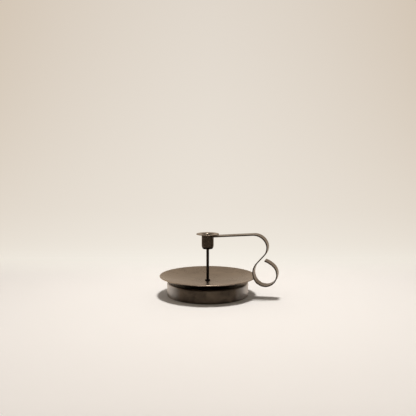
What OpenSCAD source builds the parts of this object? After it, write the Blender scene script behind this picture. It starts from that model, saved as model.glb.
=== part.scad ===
// Chime candle holder: a drip dish on an upturned drum, a thin stem, a narrow
// candle cup and a strip handle that rolls into a finger loop.
// Millimetres, +Z up, the handle towards +X, resting on Z = 0.

/* [Candle cup] */
// Bore that a thin taper candle stands in
candle_bore = 13.5; // [8:0.1:22]
// Sheet thickness of the cup
cup_t = 0.95; // [0.6:0.05:1.6]
// Straight length of the bore, from the tapered foot to the throat
cup_bore_len = 12.0; // [6:0.1:20]
// Height of the tapered foot of the cup
cup_foot_h = 5.2; // [3:0.1:8]
// How far the foot draws in at the bottom, on the radius
cup_foot_draw = 2.35; // [1:0.05:3]
// Radius of the lip's edge
lip_r = 14.6; // [12.5:0.1:22]
// Bend radius at the throat, on the upper face
throat_r = 2.2; // [1.8:0.1:3.5]
// Rise of the lip, from the throat to its edge, in degrees
lip_rise = 2.0; // [1:0.1:15]

/* [Stem] */
// Diameter of the stem
stem_d = 3.5; // [2.5:0.05:5]
// Free height, from the dish to the bottom of the cup
stem_h = 41.0; // [38:0.1:70]
// Diameter of the tenon that goes through the cup
tenon_d = 2.2; // [1.4:0.1:2.3]
// Diameter of the peened head inside the cup
peen_d = 4.0; // [3:0.1:5]
// Height of the peened head
peen_h = 0.9; // [0.5:0.1:1.4]
// Diameter of the collar on the dish
collar_d = 6.8; // [5.2:0.1:9]
// Height of the collar
collar_h = 1.2; // [0.6:0.1:3]

/* [Dish] */
// Radius of the dish's rim
rim_r = 61.7; // [56:0.05:75]
// Depth of the dish, from the rim down to its floor
dish_depth = 6.9; // [4:0.1:14]
// Sheet thickness of the dish
dish_t = 1.2; // [0.7:0.05:1.6]
// Radius of the flat seat in the middle of the dish
dish_seat_r = 9.0; // [6:0.5:15]
// Radius of the bend round the seat, on the middle of the sheet
dish_toe_r = 24.0; // [8:1:40]
// Turn of the bend round the seat, in degrees
dish_toe_turn = 2.0; // [1:0.1:3]
// Depth of the flat on the rim where the handle seats
rim_flat = 1.35; // [0.5:0.05:1.8]

/* [Drum] */
// Outer radius of the drum
drum_r = 52.2; // [44:0.1:54]
// Height of the drum
drum_h = 17.5; // [12:0.1:30]
// Sheet thickness of the drum
drum_t = 1.0; // [0.7:0.05:1.6]
// Outer radius of the drum's upper edge
drum_edge_r = 2.0; // [1.7:0.1:4]
// Thickness of the rolled hem at the bottom
hem_d = 2.6; // [2.2:0.1:4]
// Height that is pressed flat under the hem
hem_flat = 0.12; // [0.08:0.01:0.3]

/* [Handle] */
// Width of the strip
strap_w = 15.5; // [10:0.1:18]
// Thickness of the strip
strap_t = 1.5; // [1:0.1:2]
// Rise of the straight run away from the cup, in degrees
run_rise = 4.4; // [1:0.1:5.5]
// Drop from the underside of the lip's root to the strip's upper face
run_drop = 1.0; // [0:0.1:3]
// How far the strip's inner end reaches past the face of the cup's wall
strap_wrap = 0.75; // [0.3:0.05:0.85]
// Radius of the first bend, on the strip's middle
crown_r = 17.2; // [12:0.1:22]
// Turn of the first bend, in degrees
crown_turn = 65.7; // [56:0.1:72]
// Radius of the second bend
shoulder_r = 14.4; // [10:0.1:20]
// Turn of the second bend, in degrees
shoulder_turn = 70.4; // [62:0.1:76]
// Radius of the lead into the loop
lead_r = 18.0; // [16:0.1:24]
// Turn of the lead into the loop, in degrees
lead_turn = 71.3; // [62:0.1:80]
// Radius of the finger loop, on the strip's middle
loop_r = 14.8; // [12:0.1:16]
// Turn of the finger loop, in degrees
loop_turn = 198; // [170:1:205]
// Radius of the flatter stretch at the free end
tip_r = 29.5; // [18:0.5:60]
// Length of the flatter stretch at the free end
tip_len = 12.3; // [6:0.1:14]
// Height of the lead's centre above the dish's rim
loop_lift = 6.9; // [4:0.1:9]

/* [Fasteners] */
// Hole diameter of the plain washer
washer_bore = 3.7; // [3.6:0.05:5.2]
// Outer diameter of the plain washer
washer_d = 8.0; // [6.5:0.1:12]
// Thickness of the plain washer
washer_t = 0.5; // [0.4:0.1:1.5]
// Outer diameter of the spring washer
spring_d = 6.7; // [5.8:0.1:9]
// Thickness of the spring washer
spring_t = 0.8; // [0.6:0.1:1.5]
// Width of the slot in the spring washer
spring_slot = 0.7; // [0.4:0.1:1.2]
// Size of the nut across its flats
nut_flats = 6.0; // [5.6:0.1:9]
// Height of the nut
nut_h = 2.8; // [1.8:0.1:4]
// Length of the stem beyond the nut
stem_tail = 0.8; // [0.5:0.1:3]

/* [Fits] */
// Radial clearance of the stem in the dish and the drum
stem_clear = 0.15; // [0.1:0.05:0.3]
// Radial clearance of the tenon, the collar and the nut
close_clear = 0.05; // [0.03:0.01:0.1]
// Gap that is left for brazing at both ends of the handle
braze_gap = 0.06; // [0.04:0.01:0.2]
// Leg of the braze fillets
braze_leg = 1.6; // [1:0.1:2.4]

/* [Hidden] */
$fn = 96;

// Facets on the wide, shallow curve of the dish
wide_fn = 360;
// Heights of the parts that stand on each other
floor_z = drum_h + dish_t;
rim_z = floor_z + dish_depth;
cup_z = floor_z + stem_h;
bore_z = cup_z + cup_foot_h;
throat_z = bore_z + cup_bore_len;
// Radii of the cup's bore and wall, on the bore and outside
cup_r = candle_bore / 2;
wall_r = cup_r + cup_t;
throat_x = cup_r + throat_r;
// Radius of the foot's lower bend, and of the long bend above it
foot_edge_r = 1.45 * cup_t;
foot_flat_r = wall_r - cup_foot_draw;
foot_side_r = (pow(cup_foot_draw, 2) + pow(cup_foot_h - foot_edge_r, 2) - pow(foot_edge_r, 2))
              / (2 * (cup_foot_draw - foot_edge_r));
foot_turn = atan2(foot_side_r - cup_foot_draw, cup_foot_h - foot_edge_r);
// Length of the lip from the throat's bend to its rounded edge
lip_start_r = throat_x - (throat_r - cup_t / 2) * sin(lip_rise);
lip_len = (lip_r - cup_t / 2 - lip_start_r) / cos(lip_rise);
// Holes that the stem passes
stem_hole_r = stem_d / 2 + stem_clear;
tenon_hole_r = tenon_d / 2 + close_clear;
screw_hole_r = stem_d / 2 + close_clear;
// Middle of the hem's round section
hem_x = drum_r - hem_d / 2;
hem_z = hem_d / 2 - hem_flat;
// Undersides of the fasteners, from the drum's top downwards
washer_z = drum_h - drum_t - washer_t;
spring_z = washer_z - spring_t;
nut_z = spring_z - nut_h;
stem_end_z = nut_z - stem_tail;
// Straight faces round the dish's edge
edge_steps = 8;
nut_chamfer = 0.25;
end_chamfer = 0.3;

// A path is a list of pieces: [length, 0] is straight, [radius, turn] is a bend.
// Headings are in degrees, and a turn to the left is positive.
function along(a) = [cos(a), sin(a)];
function left_of(a) = [-sin(a), cos(a)];
function arc_angle(length, r) = length / r * 180 / PI;
function cross2(u, v) = u[0] * v[1] - u[1] * v[0];
function bend_centre(p, a, r, turn) = p + sign(turn) * r * left_of(a);
function bend_end(p, a, r, turn) = bend_centre(p, a, r, turn) - sign(turn) * r * left_of(a + turn);
function piece_end(piece, p, a) =
    piece[1] == 0 ? p + piece[0] * along(a) : bend_end(p, a, piece[0], piece[1]);
function walk(path, p, a, i = 0) =
    i == len(path) ? [[p, a]]
    : concat([[p, a]], walk(path, piece_end(path[i], p, a), a + path[i][1], i + 1));

// Neighbouring pieces of a path lap far enough to stand proud of each other by join_rise
join_rise = 0.001;
function bend_of(piece) = piece[1] == 0 ? 0 : sign(piece[1]) / piece[0];
function lap(path, i) =
    i == 0 || i == len(path) ? 0 : sqrt(2 * join_rise / abs(bend_of(path[i]) - bend_of(path[i - 1])));

// The run's upper face passes under the root of the lip
lip_root = [throat_x, throat_z] + (throat_r - cup_t) * left_of(lip_rise);
run_point = lip_root - [0, run_drop] - (braze_gap + strap_t / 2) * left_of(run_rise);
run_start_x = wall_r - strap_wrap;
run_start = run_point + (run_start_x - run_point[0]) / cos(run_rise) * along(run_rise);
// The lead's outer face meets the flat on the rim
seat_x = rim_r - rim_flat;
lead_reach = sqrt(pow(lead_r + strap_t / 2, 2) - pow(loop_lift, 2));
lead_centre = [seat_x + braze_gap + lead_reach, rim_z + loop_lift];
// The lengths of the run and of the drop follow from these two seats
drop_a = run_rise - crown_turn - shoulder_turn;
bends_end = bend_end(bend_end([0, 0], run_rise, crown_r, -crown_turn),
                     run_rise - crown_turn, shoulder_r, -shoulder_turn);
span = lead_centre - lead_r * left_of(drop_a) - bends_end - run_start;
run_len = cross2(span, along(drop_a)) / cross2(along(run_rise), along(drop_a));
drop_len = cross2(along(run_rise), span) / cross2(along(run_rise), along(drop_a));
tip_turn = tip_len / tip_r * 180 / PI;
strap_path = [[run_len, 0], [crown_r, -crown_turn], [shoulder_r, -shoulder_turn],
              [drop_len, 0], [lead_r, lead_turn], [loop_r, loop_turn], [tip_r, tip_turn]];
marks = walk(strap_path, run_start, run_rise);
shoulder_centre = bend_centre(marks[2][0], marks[2][1], shoulder_r, -shoulder_turn);
loop_centre = bend_centre(marks[5][0], marks[5][1], loop_r, loop_turn);
// The origin lies in the middle of the whole length, from the rim to the handle
reach = max(loop_centre[0] + loop_r, shoulder_centre[0] + shoulder_r) + strap_t / 2;
stem_x = (rim_r - reach) / 2;

// The dish's long bend follows from the end of the bend round its seat and from its rim
dish_toe_end = bend_end([dish_seat_r, floor_z - dish_t / 2], 0, dish_toe_r, dish_toe_turn);
dish_chord = [rim_r - dish_t / 2, rim_z - dish_t / 2] - dish_toe_end;
dish_turn = 2 * (atan2(dish_chord[1], dish_chord[0]) - dish_toe_turn);
dish_bend_r = norm(dish_chord) / (2 * sin(dish_turn / 2));

// Part of a flat ring: radius r on its middle, t wide
module ring_sector(centre, r, t, from, turn) {
    steps = ceil(abs(turn) / 60);
    translate(centre) intersection() {
        difference() {
            circle(r + t / 2);
            circle(r - t / 2);
        }
        polygon(concat([[0, 0]], [for (k = [0 : steps]) 1.3 * (r + t) * along(from + turn * k / steps)]));
    }
}

// Section of a sheet of thickness t along a path
module sheet_section(path, p, a, t) {
    at = walk(path, p, a);
    for (i = [0 : len(path) - 1]) {
        before = lap(path, i);
        after = lap(path, i + 1);
        size = path[i][0];
        side = sign(path[i][1]);
        if (side == 0)
            translate(at[i][0]) rotate(at[i][1])
                translate([-before, -t / 2]) square([before + size + after, t]);
        else
            ring_sector(bend_centre(at[i][0], at[i][1], size, path[i][1]), size, t,
                        at[i][1] - side * (90 + arc_angle(before, size)),
                        path[i][1] + side * arc_angle(before + after, size));
    }
}

// Rounded edge of a sheet that ends at p with heading a
module sheet_edge(p, a, t) {
    half_turn = [for (k = [0 : edge_steps]) t / 2 * along(180 * k / edge_steps - 90)];
    translate(p) rotate(a)
        polygon(concat([[-t / 4, t * 0.4], [-t / 4, -t * 0.4]], half_turn));
}

// The cup's sheet from the tenon's hole to the lip, as a path
cup_path = [[foot_flat_r - tenon_hole_r, 0],
            [foot_edge_r - cup_t / 2, foot_turn],
            [foot_side_r - cup_t / 2, 90 - foot_turn],
            [cup_bore_len, 0],
            [throat_r - cup_t / 2, lip_rise - 90],
            [lip_len, 0]];
cup_start = [tenon_hole_r, cup_z + cup_t / 2];
lip_edge = walk(cup_path, cup_start, 0)[len(cup_path)][0];

module at_stem() translate([stem_x, 0, 0]) children();

module ring(z, r_out, r_in, h) {
    translate([0, 0, z]) difference() {
        cylinder(r = r_out, h = h);
        translate([0, 0, -h]) cylinder(r = r_in, h = 3 * h);
    }
}

module base_drum() {
    wall_path = [[drum_r - drum_edge_r - stem_hole_r, 0],
                 [drum_edge_r - drum_t / 2, -90],
                 [drum_h - drum_edge_r - hem_z, 0]];
    color("#6f6354") at_stem() rotate_extrude($fn = 180) difference() {
        union() {
            sheet_section(wall_path, [stem_hole_r, drum_h - drum_t / 2], 0, drum_t);
            translate([hem_x, hem_z]) circle(hem_d / 2);
        }
        translate([0, -hem_d]) square([drum_r + hem_d, hem_d]);
    }
}

module dish() {
    dish_path = [[dish_seat_r - stem_hole_r, 0], [dish_toe_r, dish_toe_turn], [dish_bend_r, dish_turn]];
    start = [stem_hole_r, floor_z - dish_t / 2];
    edge = walk(dish_path, start, 0)[len(dish_path)];
    color("#a3937d") at_stem() difference() {
        rotate_extrude($fn = 180) {
            sheet_section(dish_path, start, 0, dish_t, $fn = wide_fn);
            sheet_edge(edge[0], edge[1], dish_t);
        }
        translate([seat_x, -rim_r, drum_h]) cube([2 * rim_flat, 2 * rim_r, rim_z]);
    }
}

module stem() {
    cap_r = (pow(peen_d / 2, 2) + pow(peen_h, 2)) / (2 * peen_h);
    color("#5d5245") at_stem() {
        translate([0, 0, stem_end_z + end_chamfer])
            cylinder(d = stem_d, h = cup_z - stem_end_z - end_chamfer);
        translate([0, 0, stem_end_z])
            cylinder(d1 = stem_d - 2 * end_chamfer, d2 = stem_d, h = end_chamfer);
        translate([0, 0, cup_z - cup_t]) cylinder(d = tenon_d, h = 2 * cup_t + peen_h / 2);
        translate([0, 0, cup_z + cup_t]) intersection() {
            cylinder(d = peen_d, h = peen_h);
            translate([0, 0, peen_h - cap_r]) sphere(cap_r);
        }
    }
}

module stem_collar() {
    color("#5d5245") at_stem() difference() {
        union() {
            translate([0, 0, floor_z]) cylinder(d = collar_d, h = collar_h - end_chamfer);
            translate([0, 0, floor_z + collar_h - end_chamfer])
                cylinder(d1 = collar_d, d2 = collar_d - 2 * end_chamfer, h = end_chamfer);
        }
        translate([0, 0, floor_z - collar_h]) cylinder(r = screw_hole_r, h = 3 * collar_h);
    }
}

module flat_washer() {
    color("silver") at_stem() ring(washer_z, washer_d / 2, washer_bore / 2, washer_t);
}

module lock_washer() {
    color("silver") at_stem() difference() {
        ring(spring_z, spring_d / 2, washer_bore / 2, spring_t);
        translate([0, -spring_slot / 2, spring_z - spring_t]) cube([spring_d, spring_slot, 3 * spring_t]);
    }
}

module stem_nut() {
    corner_r = nut_flats / 2 / cos(30);
    color("silver") at_stem() translate([0, 0, nut_z]) difference() {
        intersection() {
            cylinder(r = corner_r, h = nut_h, $fn = 6);
            rotate_extrude() polygon([[0, 0], [corner_r - 2 * nut_chamfer, 0], [corner_r, nut_chamfer],
                                      [corner_r, nut_h - nut_chamfer],
                                      [corner_r - 2 * nut_chamfer, nut_h], [0, nut_h]]);
        }
        translate([0, 0, -nut_h]) cylinder(r = screw_hole_r, h = 3 * nut_h);
    }
}

module candle_cup() {
    color("#6b6052") at_stem() rotate_extrude($fn = 120) {
        sheet_section(cup_path, cup_start, 0, cup_t);
        translate(lip_edge) circle(cup_t / 2);
    }
}

module handle_strap() {
    color("#85786a") at_stem() difference() {
        translate([0, strap_w / 2, 0]) rotate([90, 0, 0]) linear_extrude(strap_w)
            sheet_section(strap_path, run_start, run_rise, strap_t);
        cope();
    }
}

// Space that the cup takes at the strip's end, with the gap for brazing round it
module cope() {
    throat_path = [[cup_bore_len, 0], [throat_r - cup_t / 2, lip_rise - 90], [lip_len, 0]];
    rotate_extrude($fn = 120)
        sheet_section(throat_path, [wall_r - cup_t / 2, bore_z], 90, cup_t + 2 * braze_gap);
    translate([0, 0, bore_z]) cylinder(r = cup_r + cup_t / 2, h = lip_r);
}

// Concave fillet under the strip, against the cup's wall
module cup_braze() {
    root_z = run_start[1];
    inner_r = wall_r + close_clear;
    color("#4d4439") at_stem() difference() {
        intersection() {
            rotate_extrude($fn = 120) difference() {
                translate([inner_r, root_z - strap_t / 2 - braze_leg]) square([braze_leg, braze_leg + strap_t]);
                translate([inner_r + braze_leg, root_z - strap_t / 2 - braze_leg]) circle(braze_leg);
            }
            translate([run_start_x, -wall_r, root_z - strap_t - braze_leg])
                cube([wall_r + braze_leg, 2 * wall_r, 2 * strap_t + braze_leg]);
        }
        translate([run_start[0], 0, run_start[1]]) rotate([0, -run_rise, 0])
            translate([-wall_r, -strap_w, -strap_t / 2 - close_clear])
                cube([4 * wall_r, 2 * strap_w, 4 * strap_t]);
    }
}

// Bead in the notch between the loop's outer face and the flat on the rim
module rim_braze() {
    bead_w = strap_w - strap_t;
    color("#4d4439") at_stem() translate([0, bead_w / 2, 0]) rotate([90, 0, 0])
        linear_extrude(bead_w) difference() {
            translate([seat_x, rim_z - dish_t]) circle(braze_leg / 2);
            translate([seat_x - braze_leg, rim_z - dish_t - braze_leg]) square([braze_leg, 2 * braze_leg]);
            translate(lead_centre) circle(lead_r + strap_t / 2 + close_clear, $fn = 240);
        }
}

base_drum();
dish();
stem();
stem_collar();
flat_washer();
lock_washer();
stem_nut();
candle_cup();
handle_strap();
cup_braze();
rim_braze();
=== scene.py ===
"""Looks of the chime candle holder, built round its packed frame.

Everything is in metres, in the frame's own axes: +Z up, the finger loop towards +X.
"""

import math

import bmesh
import bpy
from bpy.props import FloatProperty, FloatVectorProperty, PointerProperty
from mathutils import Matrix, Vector, noise


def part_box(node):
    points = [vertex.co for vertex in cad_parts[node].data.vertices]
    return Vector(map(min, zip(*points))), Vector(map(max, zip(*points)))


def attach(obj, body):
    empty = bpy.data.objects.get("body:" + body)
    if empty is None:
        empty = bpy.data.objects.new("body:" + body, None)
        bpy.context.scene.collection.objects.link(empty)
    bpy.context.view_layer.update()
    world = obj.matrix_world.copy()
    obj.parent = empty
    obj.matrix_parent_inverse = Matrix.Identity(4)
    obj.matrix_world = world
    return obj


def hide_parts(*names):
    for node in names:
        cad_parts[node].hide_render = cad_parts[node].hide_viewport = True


bl_info = {
    "name": "Chime candle holder",
    "version": (1, 0, 0),
    "blender": (4, 5, 0),
    "location": "3D View > Sidebar > Candle holder",
    "description": "Builds a chamberstick's looks round its packed frame",
    "category": "Object",
}

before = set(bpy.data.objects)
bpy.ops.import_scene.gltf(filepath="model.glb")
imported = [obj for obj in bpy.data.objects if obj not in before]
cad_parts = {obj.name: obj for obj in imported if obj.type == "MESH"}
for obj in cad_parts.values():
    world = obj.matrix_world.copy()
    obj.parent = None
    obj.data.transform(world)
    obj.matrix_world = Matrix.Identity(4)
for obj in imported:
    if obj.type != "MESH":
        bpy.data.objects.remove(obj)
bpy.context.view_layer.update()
drum_low, drum_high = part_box("base_drum")
dish_low, dish_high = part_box("dish")
cup_low, cup_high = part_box("candle_cup")
stem_low, stem_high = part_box("stem")
collar_low, collar_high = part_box("stem_collar")
nut_low, nut_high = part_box("stem_nut")
strap_low, strap_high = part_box("handle_strap")

# The stem's axis stands in the middle of the drum
AXIS_X = (drum_low.x + drum_high.x) / 2


def length(name, description, default):
    """A size in metres for a property group."""
    return FloatProperty(name=name, description=description, default=default, min=0.0,
                         subtype="DISTANCE", unit="LENGTH", precision=5)


def angle(name, description, degrees):
    """An angle for a property group, given in degrees."""
    return FloatProperty(name=name, description=description, default=math.radians(degrees),
                         subtype="ANGLE", unit="ROTATION")


def paint(name, description, rgb):
    """A linear colour for a property group."""
    return FloatVectorProperty(name=name, description=description, default=rgb, size=3,
                               min=0.0, max=1.0, subtype="COLOR")


def share(name, description, default, top=1.0):
    """A plain number for a property group."""
    return FloatProperty(name=name, description=description, default=default, min=0.0, max=top,
                         subtype="FACTOR")


class DrumSizes(bpy.types.PropertyGroup):
    """Sizes of the upturned drum."""

    radius: length("Radius", "Outer radius of the drum", drum_high.y)
    height: length("Height", "Height of the drum", drum_high.z)
    sheet: length("Sheet", "Thickness of the drum's sheet", 0.001)
    shoulder: length("Shoulder", "Outer radius of the upper edge", 0.002)
    hem: length("Hem", "Thickness of the rolled hem", 0.0026)
    hem_flat: length("Pressed flat", "Height that is pressed flat under the hem", 0.00012)
    hole: length("Hole", "Radius of the hole for the stem", 0.001675)


class DishSizes(bpy.types.PropertyGroup):
    """Sizes of the drip dish."""

    radius: length("Radius", "Radius of the rim", dish_high.y)
    depth: length("Depth", "Depth below the rim", dish_high.z - drum_high.z - 0.0012)
    sheet: length("Sheet", "Thickness of the dish's sheet", 0.0012)
    seat: length("Seat", "Radius of the flat seat", 0.009)
    toe: length("Toe", "Radius of the bend round the seat", 0.024)
    toe_turn: angle("Toe turn", "Turn of the bend round the seat", 2.0)
    flat: length("Flat", "Depth of the flat on the rim under the handle", 0.00135)
    hole: length("Hole", "Radius of the hole for the stem", 0.001675)


class StemSizes(bpy.types.PropertyGroup):
    """Sizes of the stem and its collar."""

    rod: length("Rod", "Diameter of the stem", 0.0035)
    tenon: length("Tenon", "Diameter of the tenon in the cup", 0.0022)
    head: length("Head", "Diameter of the peened head", 0.004)
    head_height: length("Head height", "Height of the peened head", 0.0009)
    pitch: length("Thread pitch", "Pitch of the thread on the stem's lower end", 0.0006)
    thread: length("Thread depth", "Depth of the thread", 0.00022)
    collar: length("Collar", "Diameter of the collar", collar_high.y - collar_low.y)
    collar_edge: length("Collar edge", "Rounding of the collar's upper edge", 0.00035)


class CupSizes(bpy.types.PropertyGroup):
    """Sizes of the candle cup."""

    bore: length("Bore", "Diameter that the candle stands in", 0.0135)
    sheet: length("Sheet", "Thickness of the cup's sheet", 0.00095)
    bore_length: length("Bore length", "Straight length of the bore", 0.012)
    foot_height: length("Foot height", "Height of the tapered foot", 0.0052)
    foot_draw: length("Foot draw", "How far the foot draws in, on the radius", 0.00235)
    throat: length("Throat", "Bend radius at the throat", 0.0022)
    lip_rise: angle("Lip rise", "Rise of the lip", 2.0)
    lip: length("Lip", "Radius of the lip's edge", cup_high.y)


class StrapSizes(bpy.types.PropertyGroup):
    """Sizes of the handle's strip."""

    width: length("Width", "Width of the strip", strap_high.y - strap_low.y)
    sheet: length("Thickness", "Thickness of the strip", 0.0015)
    edge: length("Edge", "Rounding of the strip's long edges", 0.00032)
    rise: angle("Rise", "Rise of the straight run", 4.4)
    drop: length("Drop", "From the underside of the lip's root to the strip", 0.001)
    crown: length("Crown", "Radius of the first bend", 0.0172)
    crown_turn: angle("Crown turn", "Turn of the first bend", 65.7)
    shoulder: length("Shoulder", "Radius of the second bend", 0.0144)
    shoulder_turn: angle("Shoulder turn", "Turn of the second bend", 70.4)
    lead: length("Lead", "Radius of the bend that meets the rim", 0.018)
    lead_turn: angle("Lead turn", "Turn of the bend that meets the rim", 71.3)
    loop: length("Loop", "Radius of the finger loop", 0.0148)
    loop_turn: angle("Loop turn", "Turn of the finger loop", 198.0)
    tip: length("Tip", "Radius of the flatter stretch at the free end", 0.0295)
    tip_length: length("Tip length", "Length of the flatter stretch at the free end", 0.0123)
    loop_lift: length("Loop lift", "Height of the lead's centre above the rim", 0.0069)
    wrap: length("Wrap", "How far the inner end reaches past the cup's wall", 0.00075)
    gap: length("Brazing gap", "Gap that is left for the filler metal", 0.00006)


class Finish(bpy.types.PropertyGroup):
    """Colours of the metal and of the stage."""

    stem_dark: paint("Lacquer, stem", "Darker tone of the lacquer on the stem and its ring", (0.012, 0.009, 0.006))
    dark: paint("Dark lacquer", "Darkest tone of the bronzed lacquer", (0.028, 0.020, 0.014))
    brown: paint("Brown lacquer", "Warmer tone of the bronzed lacquer", (0.062, 0.045, 0.031))
    drum_brown: paint("Lacquer, drum", "Lighter tone of the lacquer on the drum", (0.098, 0.074, 0.053))
    dish_dark: paint("Dish, dark", "Darker tone of the dish", (0.089, 0.070, 0.053))
    dish_brown: paint("Dish, brown", "Wiped, warmer tone of the dish", (0.172, 0.136, 0.103))
    # The rubbed tone of the dish also serves as the painted reflection that lightens it towards its rim.
    dish_worn_and_rim_reflection: paint("Rubbed places, dish", "Where the lacquer of the dish is rubbed thin", (0.36, 0.29, 0.225))
    worn: paint("Worn edge", "Where the lacquer is rubbed thin", (0.15, 0.115, 0.082))
    filler: paint("Filler", "Filler metal under the finish", (0.032, 0.022, 0.012))
    zinc: paint("Zinc", "Plated fasteners", (0.56, 0.56, 0.54))
    gloss: share("Roughness", "Roughness of the lacquer", 0.27)
    floor: paint("Floor", "Colour of the floor", (0.955, 0.937, 0.93))
    backdrop_near: paint("Backdrop, near", "The sweep behind the holder, where it is still level", (0.922, 0.88, 0.80))
    backdrop_low: paint("Backdrop, low", "Colour of the backdrop above the floor", (0.83, 0.77, 0.69))
    backdrop_high: paint("Backdrop, high", "Colour of the backdrop higher up", (0.74, 0.67, 0.59))
    backdrop_side: paint("Backdrop, side", "Colour of the backdrop far out to the sides", (0.66, 0.57, 0.47))
    fill: paint("Fill", "Colour and strength of the light from all round", (0.23, 0.20, 0.165))


def turn(heading, amount, radius, x, z, steps):
    """Points along a bend that starts after (x, z), with their headings."""
    side = math.copysign(1.0, amount)
    cx, cz = x - side * radius * math.sin(heading), z + side * radius * math.cos(heading)
    out = []
    for k in range(1, steps + 1):
        a = heading + amount * k / steps
        out.append((cx + side * radius * math.sin(a), cz - side * radius * math.cos(a), a))
    return out


def walk(x, z, heading, pieces, step):
    """Centre line of a sheet: pieces are (length, 0) for a straight and (radius, turn) for a bend."""
    line = [(x, z, heading)]
    for size, amount in pieces:
        x, z, heading = line[-1]
        reach = abs(amount) * size if amount else size
        steps = max(2, math.ceil(reach / step), math.ceil(abs(amount) / 0.05))
        if amount:
            line += turn(heading, amount, size, x, z, steps)
        else:
            line += [(x + size * k / steps * math.cos(heading),
                      z + size * k / steps * math.sin(heading), heading) for k in range(1, steps + 1)]
    return line


def sheet_outline(line, thickness, round_start=False, round_end=True, steps=8):
    """Closed outline of a sheet about its centre line, as (r, z, wear)."""
    h = thickness / 2
    upper = [(x - h * math.sin(a), z + h * math.cos(a), 0.0) for x, z, a in line]
    lower = [(x + h * math.sin(a), z - h * math.cos(a), 0.0) for x, z, a in line]

    def cap(point, heading):
        x, z, _ = point
        return [(x + h * math.cos(heading + b), z + h * math.sin(heading + b), 1.0)
                for b in (math.pi * (0.5 - k / steps) for k in range(1, steps))]

    outline = list(upper)
    if round_end:
        outline += cap(line[-1], line[-1][2])
    outline += lower[::-1]
    if round_start:
        outline += cap(line[0], line[0][2] + math.pi)
    return outline


def spread_wear(outline, reach):
    """Lets the wear fade along the outline over a distance."""
    n = len(outline)
    out = []
    for i in range(n):
        x, z, w = outline[i]
        for way in (-1, 1):
            run, j = 0.0, i
            while run < reach:
                k = (j + way) % n
                run += math.dist(outline[j][:2], outline[k][:2])
                w = max(w, outline[k][2] * (1 - run / reach))
                j = k
                if k == i:
                    break
        out.append((x, z, w))
    return out


def fresh(name):
    """Clears an earlier copy of a piece, so that an operator can be run again."""
    old = bpy.data.objects.get(name)
    if old is not None:
        bpy.data.objects.remove(old, do_unlink=True)
    return name


def make_piece(name, verts, faces, wear=None, sharp=30.0):
    """A smooth-shaded mesh object with a point attribute that says where it is worn."""
    bm = bmesh.new()
    layer = bm.verts.layers.float.new("wear")
    made = [bm.verts.new(v) for v in verts]
    for i, v in enumerate(made):
        v[layer] = wear[i] if wear else 0.0
    for f in faces:
        if len(set(f)) > 2:
            bm.faces.new([made[i] for i in f])
    bmesh.ops.remove_doubles(bm, verts=bm.verts, dist=1e-7)
    bmesh.ops.dissolve_degenerate(bm, edges=bm.edges, dist=1e-8)
    bmesh.ops.recalc_face_normals(bm, faces=bm.faces)
    mesh = bpy.data.meshes.new(fresh(name))
    bm.to_mesh(mesh)
    bm.free()
    mesh.shade_smooth()
    mesh.set_sharp_from_angle(angle=math.radians(sharp))
    obj = bpy.data.objects.new(name, mesh)
    bpy.context.scene.collection.objects.link(obj)
    return obj


def lathe(name, outline, segments, closed=True, shape=None, sharp=30.0):
    """Turns an outline of (r, z, wear) about the stem's axis. shape moves a point (x, y, z)."""
    verts, wear, faces = [], [], []
    n = len(outline)
    for s in range(segments):
        a = 2 * math.pi * s / segments
        for r, z, w in outline:
            p = Vector((r * math.cos(a), r * math.sin(a), z))
            if shape:
                p = shape(p)
            verts.append((p.x + AXIS_X, p.y, p.z))
            wear.append(w)
    rows = n if closed else n - 1
    for s in range(segments):
        t = (s + 1) % segments
        for i in range(rows):
            j = (i + 1) % n
            faces.append((s * n + i, t * n + i, t * n + j, s * n + j))
    return make_piece(name, verts, faces, wear, sharp)


# Materials

def new_material(name):
    """An empty node material with its output and a Principled shader."""
    mat = bpy.data.materials.get(name) or bpy.data.materials.new(name)
    mat.use_nodes = True
    tree = mat.node_tree
    tree.nodes.clear()
    out = tree.nodes.new("ShaderNodeOutputMaterial")
    shader = tree.nodes.new("ShaderNodeBsdfPrincipled")
    tree.links.new(shader.outputs["BSDF"], out.inputs["Surface"])
    return mat, tree, shader


def noise_of(tree, coords, scale, detail=4.0, rough=0.5, distort=0.0):
    """A noise texture on given coordinates."""
    node = tree.nodes.new("ShaderNodeTexNoise")
    node.inputs["Scale"].default_value = scale
    node.inputs["Detail"].default_value = detail
    node.inputs["Roughness"].default_value = rough
    node.inputs["Distortion"].default_value = distort
    tree.links.new(coords, node.inputs["Vector"])
    return node.outputs["Fac"]


def spread(tree, value, low, high, to_low=0.0, to_high=1.0):
    """Maps a value from one range to another, clamped."""
    node = tree.nodes.new("ShaderNodeMapRange")
    for key, number in (("From Min", low), ("From Max", high), ("To Min", to_low), ("To Max", to_high)):
        node.inputs[key].default_value = number
    tree.links.new(value, node.inputs["Value"])
    return node.outputs["Result"]


def math_of(tree, kind, a, b):
    """A math node whose inputs are sockets or numbers."""
    node = tree.nodes.new("ShaderNodeMath")
    node.operation = kind
    for socket, value in zip(node.inputs, (a, b)):
        if isinstance(value, (int, float)):
            socket.default_value = value
        else:
            tree.links.new(value, socket)
    return node.outputs["Value"]


def mix_colours(tree, factor, a, b):
    """Mixes two colours, each a socket or an RGB triple."""
    node = tree.nodes.new("ShaderNodeMix")
    node.data_type = "RGBA"
    tree.links.new(factor, node.inputs["Factor"])
    for socket, value in ((node.inputs[6], a), (node.inputs[7], b)):
        if isinstance(value, bpy.types.NodeSocket):
            tree.links.new(value, socket)
        else:
            socket.default_value = (*value, 1.0)
    return node.outputs[2]


def bump(tree, height, distance, strength=1.0, before=None):
    """A bump of a real height in metres, on top of an earlier one."""
    node = tree.nodes.new("ShaderNodeBump")
    node.inputs["Distance"].default_value = distance
    node.inputs["Strength"].default_value = strength
    tree.links.new(height, node.inputs["Height"])
    if before is not None:
        tree.links.new(before, node.inputs["Normal"])
    return node.outputs["Normal"]


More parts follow.
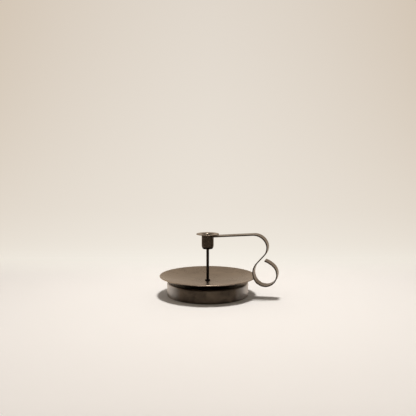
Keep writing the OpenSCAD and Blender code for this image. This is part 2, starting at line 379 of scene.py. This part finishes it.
def wear_of(tree, coords):
    """Worn places: the mesh's own wear, broken up by noise."""
    mark = tree.nodes.new("ShaderNodeAttribute")
    mark.attribute_name = "wear"
    broken = noise_of(tree, coords, 420.0, 5.0, 0.6)
    both = math_of(tree, "MULTIPLY", mark.outputs["Fac"], broken)
    return spread(tree, both, 0.30, 0.62), mark.outputs["Fac"]


def ring_coords(tree, coords):
    """Distance from the stem's axis and height, for what runs round a spun piece."""
    offset = tree.nodes.new("ShaderNodeVectorMath")
    offset.operation = "SUBTRACT"
    offset.inputs[1].default_value = (AXIS_X, 0.0, 0.0)
    tree.links.new(coords, offset.inputs[0])
    flat = tree.nodes.new("ShaderNodeVectorMath")
    flat.operation = "MULTIPLY"
    flat.inputs[1].default_value = (1.0, 1.0, 0.0)
    tree.links.new(offset.outputs["Vector"], flat.inputs[0])
    far = tree.nodes.new("ShaderNodeVectorMath")
    far.operation = "LENGTH"
    tree.links.new(flat.outputs["Vector"], far.inputs[0])
    split = tree.nodes.new("ShaderNodeSeparateXYZ")
    tree.links.new(coords, split.inputs["Vector"])
    joined = tree.nodes.new("ShaderNodeCombineXYZ")
    tree.links.new(far.outputs["Value"], joined.inputs["X"])
    tree.links.new(split.outputs["Z"], joined.inputs["Z"])
    return joined.outputs["Vector"], far.outputs["Value"]


def lacquer(name, dark, brown, worn, rough, spun=False, patch=70.0, wave=0.00004, rim=(1.0, 0.86, 0.73), well=0.0,
            wax=0.0, graze=(0.28, 0.58), fleck=0.35, thin=0.0):
    """Bronzed lacquer on steel: mottled brown tones, rubbed edges, faint waves and fine marks. With thin, a painted
    reflection lightens a dish towards its rim; with well, the cup gets painted shade in its bore, a painted highlight
    on its throat and a painted reflection on its lip.
    """
    mat, tree, shader = new_material(name)
    coords = tree.nodes.new("ShaderNodeTexCoord").outputs["Object"]
    patches = spread(tree, noise_of(tree, coords, patch, 5.0, 0.55, 0.6), 0.34, 0.68)
    flecks = spread(tree, noise_of(tree, coords, 950.0, 4.0, 0.6), 0.35, 0.75)
    tone = mix_colours(tree, patches, dark, brown)
    speck = mix_colours(tree, math_of(tree, "MULTIPLY", flecks, fleck), tone, dark)
    rubbed, mark = wear_of(tree, coords)
    if spun:
        marks, far = ring_coords(tree, coords)
    if thin:
        # Painted reflection: with thin, the colour moves towards the worn tone from 30 to 55 mm out, lightening a dish
        # towards its rim.
        speck = mix_colours(tree, spread(tree, far, 0.030, 0.055, 0.0, thin), speck, worn)
    if well:
        inside = spread(tree, far, well - 0.0005, well + 0.0005, 1.0, 0.0)
        # Painted shade: the bore is painted near black, and its edge tint nearly put out, for the shade deep in the
        # hole.
        bore_shade = spread(tree, mark, -1.0, -0.5, 1.0, 0.0)
        smooth = spread(tree, mark, -0.5, 0.0, 0.9, 1.0)
        edge = mix_colours(tree, inside, (1.0, 0.86, 0.73), rim)
        tree.links.new(mix_colours(tree, bore_shade, edge, (0.05, 0.04, 0.03)), shader.inputs["Specular Tint"])
        # Painted reflection: on the lip, outside the well, the colour is mixed towards the lighter worn tone.
        speck = mix_colours(tree, inside, mix_colours(tree, patches, brown, worn), speck)
        # Painted highlight: the throat is painted a lighter tone where the key lamp's highlight falls on its far side.
        throat_highlight = math_of(tree, "MULTIPLY", spread(tree, mark, -0.75, -0.5), spread(tree, mark, -0.5, -0.25, 1.0, 0.0))
        speck = mix_colours(tree, throat_highlight, speck, (0.15, 0.125, 0.10))
        # Painted shade: the bore's near-black colour.
        speck = mix_colours(tree, bore_shade, speck, (0.008, 0.006, 0.005))
    tree.links.new(mix_colours(tree, rubbed, speck, worn), shader.inputs["Base Color"])
    grain = noise_of(tree, coords, 2600.0, 3.0, 0.6)
    dull = math_of(tree, "ADD", spread(tree, patches, 0.0, 1.0, rough - 0.04, rough + 0.05),
                   spread(tree, grain, 0.3, 0.7, -0.03, 0.04))
    if well:
        dull = math_of(tree, "MULTIPLY", dull, smooth)
    tree.links.new(dull, shader.inputs["Roughness"])
    waves = bump(tree, noise_of(tree, coords, 110.0, 2.0, 0.4), wave, 1.0)
    if spun:
        waves = bump(tree, noise_of(tree, marks, 1500.0, 2.0, 0.5), 0.000004, 1.0, waves)
    fine = bump(tree, grain, 0.000005, 1.0, waves)
    tree.links.new(fine, shader.inputs["Normal"])
    shader.inputs["Metallic"].default_value = 0.75
    shader.inputs["IOR"].default_value = 1.5
    shader.inputs["Specular Tint"].default_value = (*rim, 1.0)
    if wax:
        facing = tree.nodes.new("ShaderNodeLayerWeight")
        facing.inputs["Blend"].default_value = 0.5
        tree.links.new(spread(tree, facing.outputs["Facing"], *graze, 0.0, wax), shader.inputs["Coat Weight"])
        shader.inputs["Coat IOR"].default_value = 3.0
        shader.inputs["Coat Roughness"].default_value = rough
        shader.inputs["Coat Tint"].default_value = (1.0, 0.9, 0.79, 1.0)
    return mat


def plated_steel(name, zinc):
    """Zinc-plated steel of the fasteners."""
    mat, tree, shader = new_material(name)
    coords = tree.nodes.new("ShaderNodeTexCoord").outputs["Object"]
    clouds = spread(tree, noise_of(tree, coords, 700.0, 4.0, 0.6), 0.3, 0.7)
    dulled = tuple(0.62 * c for c in zinc)
    tree.links.new(mix_colours(tree, clouds, dulled, zinc), shader.inputs["Base Color"])
    tree.links.new(spread(tree, clouds, 0.0, 1.0, 0.42, 0.26), shader.inputs["Roughness"])
    grain = noise_of(tree, coords, 4200.0, 3.0, 0.6)
    tree.links.new(bump(tree, grain, 0.000006), shader.inputs["Normal"])
    shader.inputs["Metallic"].default_value = 1.0
    return mat


def filler_metal(name, filler, worn, rough):
    """Filler metal of the brazed joints, lumpy under the dark finish."""
    mat, tree, shader = new_material(name)
    coords = tree.nodes.new("ShaderNodeTexCoord").outputs["Object"]
    lumps = noise_of(tree, coords, 800.0, 3.0, 0.5)
    tree.links.new(mix_colours(tree, spread(tree, lumps, 0.35, 0.8), filler, worn), shader.inputs["Base Color"])
    tree.links.new(spread(tree, lumps, 0.3, 0.7, rough, rough + 0.15), shader.inputs["Roughness"])
    tree.links.new(bump(tree, lumps, 0.00009), shader.inputs["Normal"])
    return mat


def dress(obj, mat):
    """Gives an object one material."""
    obj.data.materials.clear()
    obj.data.materials.append(mat)


def settle(obj, node, mat):
    """Dresses a new piece and lets it stand for its CAD node."""
    dress(obj, mat)
    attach(obj, "root")
    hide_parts(node)


def dark_lacquer(context):
    f = context.scene.holder_finish
    return lacquer("dark_lacquer", f.dark, f.brown, f.worn, f.gloss)


class HOLDER_OT_drum(bpy.types.Operator):
    """Turn the upturned drum with its shoulder and rolled hem"""

    bl_idname = "holder.drum"
    bl_label = "Drum"

    def execute(self, context):
        s = context.scene.holder_drum
        top = s.height - s.sheet / 2
        line = walk(s.hole, top, 0.0, [(s.radius - s.shoulder - s.hole, 0.0),
                                       (s.shoulder - s.sheet / 2, -math.pi / 2)], 0.002)
        h = s.sheet / 2
        hem_r, hem_z = s.radius - s.hem / 2, s.hem / 2 - s.hem_flat
        outer = [(x - h * math.sin(a), z + h * math.cos(a), 0.0) for x, z, a in line]
        inner = [(x + h * math.sin(a), z - h * math.cos(a), 0.0) for x, z, a in line]
        wall_rows = 14
        for k in range(1, wall_rows):
            z = s.height - s.shoulder + (hem_z - s.height + s.shoulder) * k / wall_rows
            outer.append((s.radius, z, 0.0))
        hem = []
        for k in range(0, 37):
            a = -math.pi * 2 * k / 48
            x, z = hem_r + s.hem / 2 * math.cos(a), hem_z + s.hem / 2 * math.sin(a)
            hem.append((x, max(z, 0.0), 0.5 if z < hem_z else 0.0))
        for k in range(1, wall_rows):
            z = hem_z + s.hem / 2 + (s.height - s.shoulder - hem_z - s.hem / 2) * k / wall_rows
            hem.append((s.radius - s.sheet, z, 0.0))
        outline = outer + hem + inner[::-1]
        for i, (x, z, w) in enumerate(outline):
            if x > s.radius - s.shoulder and z > s.height - s.shoulder:
                outline[i] = (x, z, 0.35)

        def ripple(p):
            swell = noise.noise(Vector((p.x * 26, p.y * 26, p.z * 18 + 4.0)))
            far = math.hypot(p.x, p.y)
            if far < s.radius - 2 * s.sheet:
                return p
            scale = 1 - (0.00006 * (1 + swell)) / far
            return Vector((p.x * scale, p.y * scale, p.z))

        obj = lathe("base_drum_sheet", spread_wear(outline, 0.0012), 288, shape=ripple)
        f = context.scene.holder_finish
        mat = lacquer("drum_lacquer", f.dark, f.drum_brown, f.worn, f.gloss + 0.05, wax=1.0)
        settle(obj, "base_drum", mat)
        return {"FINISHED"}


class HOLDER_OT_dish(bpy.types.Operator):
    """Turn the drip dish, with the flat on its rim"""

    bl_idname = "holder.dish"
    bl_label = "Dish"

    def execute(self, context):
        s = context.scene.holder_dish
        f = context.scene.holder_finish
        floor = drum_high.z + s.sheet / 2
        toe = turn(0.0, s.toe_turn, s.toe, s.seat, floor, 1)[0]
        reach, climb = s.radius - s.sheet / 2 - toe[0], floor + s.depth - toe[1]
        bend = 2 * (math.atan2(climb, reach) - s.toe_turn)
        long_radius = math.hypot(reach, climb) / (2 * math.sin(bend / 2))
        line = walk(s.hole, floor, 0.0, [(s.seat - s.hole, 0.0), (s.toe, s.toe_turn),
                                         (long_radius, bend)], 0.0022)
        seat_x = s.radius - s.flat

        def flatten(p):
            if p.x > seat_x:
                p = Vector((seat_x, p.y, p.z))
            return p

        outline = spread_wear(sheet_outline(line, s.sheet), 0.0006)
        obj = lathe("dish_sheet", outline, 432, shape=flatten)
        # thin paints a reflection that lightens the dish towards its rim.
        mat = lacquer("dish_lacquer", f.dish_dark, f.dish_brown, f.dish_worn_and_rim_reflection, f.gloss + 0.02, spun=True, patch=46.0,
                      wave=0.00002, wax=0.12, graze=(0.70, 0.88), fleck=0.15, thin=0.10)
        settle(obj, "dish", mat)
        return {"FINISHED"}


class HOLDER_OT_stem(bpy.types.Operator):
    """Turn the stem with its peened head and cut the thread on its lower end"""

    bl_idname = "holder.stem"
    bl_label = "Stem"

    def execute(self, context):
        s = context.scene.holder_stem
        cup = context.scene.holder_cup
        r = s.rod / 2
        cup_floor = cup_low.z
        start, end = stem_low.z, cup_floor
        cut_end = nut_high.z
        rows = [(0.0, start, 0.6)]
        z = start
        while z < cut_end:
            rows.append((r, z, 0.3))
            z += s.pitch / 10
        shank = cut_end
        while shank < end:
            rows.append((r, shank, 0.0))
            shank += 0.0015
        rows.append((r - 0.00008, end - 0.00002, 0.2))
        rows.append((s.tenon / 2, end, 0.0))
        head_z = cup_floor + cup.sheet
        rows.append((s.tenon / 2, head_z, 0.0))
        rows.append((s.head / 2, head_z, 0.3))
        cap_r = ((s.head / 2) ** 2 + s.head_height ** 2) / (2 * s.head_height)
        for k in range(1, 10):
            q = s.head / 2 * (1 - k / 9)
            rows.append((q, head_z + s.head_height - cap_r + math.sqrt(cap_r ** 2 - q ** 2), 0.4))

        def thread(p):
            far = math.hypot(p.x, p.y)
            if p.z > cut_end or far < 1e-9:
                return p
            phase = (math.atan2(p.y, p.x) / (2 * math.pi) - p.z / s.pitch) % 1.0
            depth = s.thread * abs(2 * phase - 1)
            lead = min(1.0, max(0.0, (p.z - start) / s.pitch))
            back = min(1.0, max(0.0, (cut_end - p.z) / s.pitch))
            depth = max(depth * back, s.thread * (1 - lead))
            return Vector((p.x * (1 - depth / far), p.y * (1 - depth / far), p.z))

        obj = lathe("stem_rod", rows, 72, closed=False, shape=thread)
        f = context.scene.holder_finish
        mat = lacquer("stem_lacquer", f.stem_dark, f.dark, f.brown, f.gloss, rim=(0.25, 0.21, 0.17))
        settle(obj, "stem", mat)
        collar = [(r, collar_low.z, 0.0), (s.collar / 2, collar_low.z, 0.2)]
        top = collar_high.z
        e = s.collar_edge
        for k in range(0, 7):
            a = math.pi / 2 * k / 6
            collar.append((s.collar / 2 - e + e * math.cos(a), top - e + e * math.sin(a), 0.8))
        collar.append((r, top, 0.0))
        ring = lathe("collar_ring", collar, 72)
        settle(ring, "stem_collar", mat)
        return {"FINISHED"}


class HOLDER_OT_cup(bpy.types.Operator):
    """Spin the candle cup with its tapered foot and trumpet lip"""

    bl_idname = "holder.cup"
    bl_label = "Candle cup"

    def execute(self, context):
        s = context.scene.holder_cup
        stem = context.scene.holder_stem
        t = s.sheet
        wall = s.bore / 2 + t
        edge_r = 1.45 * t
        flat_r = wall - s.foot_draw
        side_r = (s.foot_draw ** 2 + (s.foot_height - edge_r) ** 2 - edge_r ** 2) / (2 * (s.foot_draw - edge_r))
        foot_turn = math.atan2(side_r - s.foot_draw, s.foot_height - edge_r)
        lip_start = s.bore / 2 + s.throat - (s.throat - t / 2) * math.sin(s.lip_rise)
        lip_run = (s.lip - t / 2 - lip_start) / math.cos(s.lip_rise)
        hole = stem.tenon / 2 + 0.00005
        line = walk(hole, cup_low.z + t / 2, 0.0,
                    [(flat_r - hole, 0.0), (edge_r - t / 2, foot_turn), (side_r - t / 2, math.pi / 2 - foot_turn),
                     (s.bore_length, 0.0), (s.throat - t / 2, s.lip_rise - math.pi / 2), (lip_run, 0.0)], 0.0008)
        throat_x, throat_z = s.bore / 2 + s.throat, cup_low.z + s.foot_height + s.bore_length

        def mark(r, z, wear):
            """-1 for the bore, painted near black as shade; -0.5 for the throat, which candles rub smooth and which is
            painted lighter as a highlight; else the wear.
            """
            if z > throat_z + 0.0008:
                above = math.hypot(r - throat_x, z - throat_z) > s.throat - t / 2
                return -0.5 if r < throat_x and above else wear
            return -1.0 if r < wall - t / 2 and z > cup_low.z + t / 2 else wear

        outline = [(r, z, mark(r, z, w)) for r, z, w in spread_wear(sheet_outline(line, t, steps=10), 0.0007)]
        obj = lathe("candle_cup_sheet", outline, 192)
        f = context.scene.holder_finish
        # The cup's lacquer paints shade into the bore, a highlight on the throat and a reflection on the lip.
        mat = lacquer("cup_lacquer", f.dark, f.brown, f.worn, f.gloss, spun=True, rim=(0.6, 0.51, 0.43),
                      well=s.bore / 2 + s.sheet + 0.0008)
        settle(obj, "candle_cup", mat)
        return {"FINISHED"}


class HOLDER_OT_strap(bpy.types.Operator):
    """Bend the strip of the handle from the cup to the finger loop"""

    bl_idname = "holder.strap"
    bl_label = "Handle strip"

    def execute(self, context):
        s = context.scene.holder_strap
        cup = context.scene.holder_cup
        dish = context.scene.holder_dish
        wall = cup.bore / 2 + cup.sheet
        throat_x = cup.bore / 2 + cup.throat
        throat_z = cup_low.z + cup.foot_height + cup.bore_length
        under = cup.throat - cup.sheet

        def left(a):
            return Vector((-math.sin(a), math.cos(a)))

        def ahead(a):
            return Vector((math.cos(a), math.sin(a)))

        root = Vector((throat_x, throat_z)) + under * left(cup.lip_rise)
        on_run = root - Vector((0.0, s.drop)) - (s.gap + s.sheet / 2) * left(s.rise)
        start_x = wall - s.wrap
        start = on_run + (start_x - on_run.x) / math.cos(s.rise) * ahead(s.rise)
        seat_x = dish.radius - dish.flat
        reach = math.sqrt((s.lead + s.sheet / 2) ** 2 - s.loop_lift ** 2)
        lead_centre = Vector((seat_x + s.gap + reach, dish_high.z + s.loop_lift))
        drop = s.rise - s.crown_turn - s.shoulder_turn
        ends = walk(0.0, 0.0, s.rise, [(s.crown, -s.crown_turn), (s.shoulder, -s.shoulder_turn)], 0.01)[-1]
        span = lead_centre - s.lead * left(drop) - Vector(ends[:2]) - start
        across = ahead(s.rise).cross(ahead(drop))
        run = span.cross(ahead(drop)) / across
        fall = ahead(s.rise).cross(span) / across
        line = walk(start.x, start.y, s.rise,
                    [(0.0024, 0.0), (run - 0.0024, 0.0), (s.crown, -s.crown_turn), (s.shoulder, -s.shoulder_turn),
                     (fall, 0.0), (s.lead, s.lead_turn), (s.loop, s.loop_turn), (s.tip, s.tip_length / s.tip)],
                    0.0009)
        half, h, e = s.width / 2, s.sheet / 2, s.edge
        section = []
        flat_rows = 14
        for side_v in (1, -1):
            for k in range(flat_rows + 1):
                u = side_v * (half - e) * (2 * k / flat_rows - 1)
                section.append((u, side_v * h, 0.0))
            corner = (side_v * (half - e), side_v * (h - e))
            for k in range(1, 6):
                a = math.pi / 2 * k / 6
                section.append((corner[0] + side_v * e * math.sin(a), corner[1] + side_v * e * math.cos(a), 0.2))
            section.append((side_v * half, side_v * (h - e), 0.1))
            section.append((side_v * half, -side_v * (h - e), 0.1))
            for k in range(1, 6):
                a = math.pi / 2 * k / 6
                section.append((side_v * (half - e + e * math.cos(a)), -side_v * (h - e + e * math.sin(a)), 0.2))
        n = len(section)
        verts, wear, faces = [], [], []
        rings = [(x, z, a, 1.0) for x, z, a in line]
        x, z, a = line[-1]
        for k in range(1, 5):
            b = math.pi / 2 * k / 4
            out = e * math.sin(b)
            rings.append((x + out * math.cos(a), z + out * math.sin(a), a, 1.0 - (1 - math.cos(b)) * e / h))
        coped = wall + s.gap
        for i, (x, z, a, shrink) in enumerate(rings):
            for u, v, w in section:
                v2 = v * shrink
                u2 = u * (1 - (1 - shrink) * h / half)
                px = x - v2 * math.sin(a)
                pz = z + v2 * math.cos(a)
                if px < 0.0095:
                    wall_x = math.sqrt(max(coped ** 2 - u2 ** 2, 0.0))
                    px = max(px, wall_x)
                    far = math.hypot(px, u2)
                    if far < throat_x:
                        top = throat_z + math.sqrt(max(under ** 2 - (throat_x - far) ** 2, 0.0)) - s.gap
                        pz = min(pz, top + 0.0)
                verts.append((px + AXIS_X, u2, pz))
                wear.append(max(w, 1.0 if i >= len(line) - 1 else 0.0))
        for i in range(len(rings) - 1):
            for j in range(n):
                k = (j + 1) % n
                faces.append((i * n + j, i * n + k, (i + 1) * n + k, (i + 1) * n + j))
        faces.append(tuple(range(n)))
        faces.append(tuple((len(rings) - 1) * n + j for j in range(n))[::-1])
        obj = make_piece("handle_strip", verts, faces, wear, sharp=28.0)
        settle(obj, "handle_strap", dark_lacquer(context))
        return {"FINISHED"}


class HOLDER_OT_joints(bpy.types.Operator):
    """Finish the brazed joints at both ends of the strip"""

    bl_idname = "holder.joints"
    bl_label = "Brazed joints"

    def execute(self, context):
        f = context.scene.holder_finish
        mat = filler_metal("filler_metal", f.filler, f.brown, f.gloss + 0.08)
        for node in ("cup_braze", "rim_braze"):
            dress(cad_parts[node], mat)
        return {"FINISHED"}


class HOLDER_OT_fasteners(bpy.types.Operator):
    """Plate the nut and the two washers under the drum"""

    bl_idname = "holder.fasteners"
    bl_label = "Fasteners"

    def execute(self, context):
        mat = plated_steel("plated_steel", context.scene.holder_finish.zinc)
        for node in ("flat_washer", "lock_washer", "stem_nut"):
            dress(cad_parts[node], mat)
        return {"FINISHED"}


def sweep_material(floor, pale, low, high, side):
    """Paper sweep: pale floor that takes the shadow, with painted shade behind the holder, and a backdrop that shows
    its own tone to camera and glossy rays and fades a little as it climbs and towards the sides, as painted shade.
    """
    mat, tree, shader = new_material("paper_sweep")
    coords = tree.nodes.new("ShaderNodeTexCoord").outputs["Object"]
    split = tree.nodes.new("ShaderNodeSeparateXYZ")
    tree.links.new(coords, split.inputs["Vector"])
    far = tree.nodes.new("ShaderNodeVectorMath")
    far.operation = "LENGTH"
    tree.links.new(coords, far.inputs[0])
    fibres = noise_of(tree, coords, 240.0, 4.0, 0.6)
    # Painted shade: the floor's colour falls to 0.83 of itself behind the holder, evening out the lamps' light, which
    # is stronger there, and stays full towards the camera.
    near = tuple(0.83 * c for c in floor)
    toward = math_of(tree, "POWER", spread(tree, split.outputs["Y"], -0.34, 0.16, 1.0, 0.0), 1.5)
    tree.links.new(mix_colours(tree, toward, near, floor), shader.inputs["Base Color"])
    tree.links.new(bump(tree, fibres, 0.00001), shader.inputs["Normal"])
    shader.inputs["Roughness"].default_value = 0.9
    shader.inputs["Specular IOR Level"].default_value = 0.0
    # Painted shade: the backdrop darkens as it climbs, further off and towards its far sides.
    climb = spread(tree, math_of(tree, "ADD", split.outputs["Z"], spread(tree, far.outputs["Value"], 1.2, 2.4, 0.0, 0.55)),
                   0.0, 0.55)
    aside = math_of(tree, "POWER", math_of(tree, "ABSOLUTE", split.outputs["X"], 0.0), 1.6)
    dim = math_of(tree, "MULTIPLY", spread(tree, aside, 0.0, 0.28), spread(tree, climb, 0.0, 0.9, 0.3, 1.0))
    dim = math_of(tree, "MULTIPLY", dim, spread(tree, far.outputs["Value"], 0.9, 1.8, 1.0, 0.0))
    deep = math_of(tree, "MAXIMUM", spread(tree, split.outputs["Y"], 0.18, 0.52),
                   spread(tree, far.outputs["Value"], 0.5, 1.6))
    tone = mix_colours(tree, deep, pale, mix_colours(tree, climb, low, high))
    glow = tree.nodes.new("ShaderNodeEmission")
    tree.links.new(mix_colours(tree, dim, tone, side), glow.inputs["Color"])
    rays = tree.nodes.new("ShaderNodeLightPath")
    seen = math_of(tree, "MAXIMUM", rays.outputs["Is Camera Ray"],
                   math_of(tree, "MAXIMUM", rays.outputs["Is Glossy Ray"], rays.outputs["Is Transmission Ray"]))
    back = spread(tree, split.outputs["Y"], 0.08, 0.28)
    back.node.interpolation_type = "SMOOTHSTEP"
    away = spread(tree, far.outputs["Value"], 0.36, 0.64)
    away.node.interpolation_type = "SMOOTHSTEP"
    mixer = tree.nodes.new("ShaderNodeMixShader")
    tree.links.new(math_of(tree, "MULTIPLY", math_of(tree, "MAXIMUM", back, away), seen), mixer.inputs["Fac"])
    tree.links.new(shader.outputs["BSDF"], mixer.inputs[1])
    tree.links.new(glow.outputs["Emission"], mixer.inputs[2])
    out = next(node for node in tree.nodes if node.type == "OUTPUT_MATERIAL")
    tree.links.new(mixer.outputs["Shader"], out.inputs["Surface"])
    return mat


def panel_light(name, place, aim, radiance, width, height=None, colour=(1.0, 0.90, 0.78)):
    """A soft lamp at a place, aimed at a point, as bright as radiance says. Without a height it is round."""
    data = bpy.data.lights.new(fresh(name), "AREA")
    area = width * height if height else math.pi * width * width / 4
    data.energy = radiance * math.pi * area
    data.color = colour
    data.size = width
    if height:
        data.shape = "RECTANGLE"
        data.size_y = height
    else:
        data.shape = "DISK"
    obj = bpy.data.objects.new(name, data)
    bpy.context.scene.collection.objects.link(obj)
    obj.location = place
    obj.rotation_euler = (Vector(aim) - Vector(place)).to_track_quat("-Z", "Y").to_euler()
    obj.visible_camera = False
    return obj


class HOLDER_OT_stage(bpy.types.Operator):
    """Set the paper sweep, the studio lamps and the camera"""

    bl_idname = "holder.stage"
    bl_label = "Stage"

    def execute(self, context):
        f = context.scene.holder_finish
        scene = context.scene
        heading = math.radians(13.31)

        def place(right, back, up):
            """A place on the stage, seen from the camera: to the right of the stem, behind it and above the floor."""
            return (AXIS_X + right * math.cos(heading) - back * math.sin(heading),
                    right * math.sin(heading) + back * math.cos(heading), up)

        bend_r, back_y = 0.24, 0.36
        profile = [(-8.0, 0.0), (-2.4, 0.0), (-1.2, 0.0), (-0.4, 0.0), (0.0, 0.0), (0.2, 0.0), (back_y, 0.0)]
        for k in range(1, 25):
            a = math.pi / 2 * k / 24
            profile.append((back_y + bend_r * math.sin(a), bend_r * (1 - math.cos(a))))
        profile += [(back_y + bend_r, 0.6), (back_y + bend_r, 1.1), (back_y + bend_r, 4.0)]
        verts, faces = [], []
        columns = (-8.0, -2.4, -1.2, -0.4, 0.4, 1.2, 2.4, 8.0)
        for x in columns:
            verts += [(x, y, z) for y, z in profile]
        n = len(profile)
        for c in range(len(columns) - 1):
            for i in range(n - 1):
                faces.append((c * n + i, (c + 1) * n + i, (c + 1) * n + i + 1, c * n + i + 1))
        sweep = make_piece("paper_sweep", verts, faces)
        sweep.location = (AXIS_X, 0.0, 0.0)
        sweep.rotation_euler = (0.0, 0.0, heading)
        dress(sweep, sweep_material(f.floor, f.backdrop_near, f.backdrop_low, f.backdrop_high, f.backdrop_side))

        panel_light("key", (AXIS_X + 0.036, 0.06, 0.85), (AXIS_X, 0.0, 0.0), 98.0, 0.16, None, (1.0, 0.965, 0.915))
        panel_light("left_panel", place(-1.05, 0.36, 0.26), place(0.0, 0.0, 0.02), 1.65, 1.3, 0.42)
        panel_light("right_panel", place(0.72, 0.34, 0.26), place(0.0, 0.0, 0.02), 0.65, 0.5, 0.42)

        world = bpy.data.worlds.get("studio") or bpy.data.worlds.new("studio")
        world.use_nodes = True
        tree = world.node_tree
        ground = tree.nodes["Background"]
        rays = tree.nodes.new("ShaderNodeLightPath")
        tree.links.new(mix_colours(tree, rays.outputs["Is Camera Ray"], f.fill, f.backdrop_high),
                       ground.inputs["Color"])
        ground.inputs["Strength"].default_value = 1.0
        scene.world = world

        data = bpy.data.cameras.new(fresh("camera"))
        data.lens = 55.0
        data.sensor_width = 36.0
        camera = bpy.data.objects.new("camera", data)
        scene.collection.objects.link(camera)
        camera.location = (AXIS_X + 0.18565, -0.78297, 0.19287)
        camera.rotation_euler = (math.radians(90 - 5.725), 0.0, heading)
        scene.camera = camera
        scene.view_settings.view_transform = "Standard"
        return {"FINISHED"}


STEPS = (HOLDER_OT_drum, HOLDER_OT_dish, HOLDER_OT_stem, HOLDER_OT_cup, HOLDER_OT_strap,
         HOLDER_OT_joints, HOLDER_OT_fasteners, HOLDER_OT_stage)


class HOLDER_PT_panel(bpy.types.Panel):
    """Sizes, colours and steps of the candle holder"""

    bl_idname = "HOLDER_PT_panel"
    bl_label = "Candle holder"
    bl_space_type = "VIEW_3D"
    bl_region_type = "UI"
    bl_category = "Candle holder"

    def draw(self, context):
        scene = context.scene
        for step in STEPS:
            self.layout.operator(step.bl_idname)
        for group in GROUPS:
            box = self.layout.box()
            box.label(text=GROUPS[group].__doc__.rstrip("."))
            settings = getattr(scene, group)
            for key in GROUPS[group].__annotations__:
                box.prop(settings, key)


GROUPS = {"holder_drum": DrumSizes, "holder_dish": DishSizes, "holder_stem": StemSizes,
          "holder_cup": CupSizes, "holder_strap": StrapSizes, "holder_finish": Finish}


def register():
    for cls in (*GROUPS.values(), *STEPS, HOLDER_PT_panel):
        bpy.utils.register_class(cls)
    for name, cls in GROUPS.items():
        setattr(bpy.types.Scene, name, PointerProperty(type=cls))


def unregister():
    for name in GROUPS:
        delattr(bpy.types.Scene, name)
    for cls in (HOLDER_PT_panel, *reversed(STEPS), *GROUPS.values()):
        bpy.utils.unregister_class(cls)


def main():
    register()
    for step in STEPS:
        family, name = step.bl_idname.split(".")
        getattr(getattr(bpy.ops, family), name)()


if __name__ == "__main__":
    main()
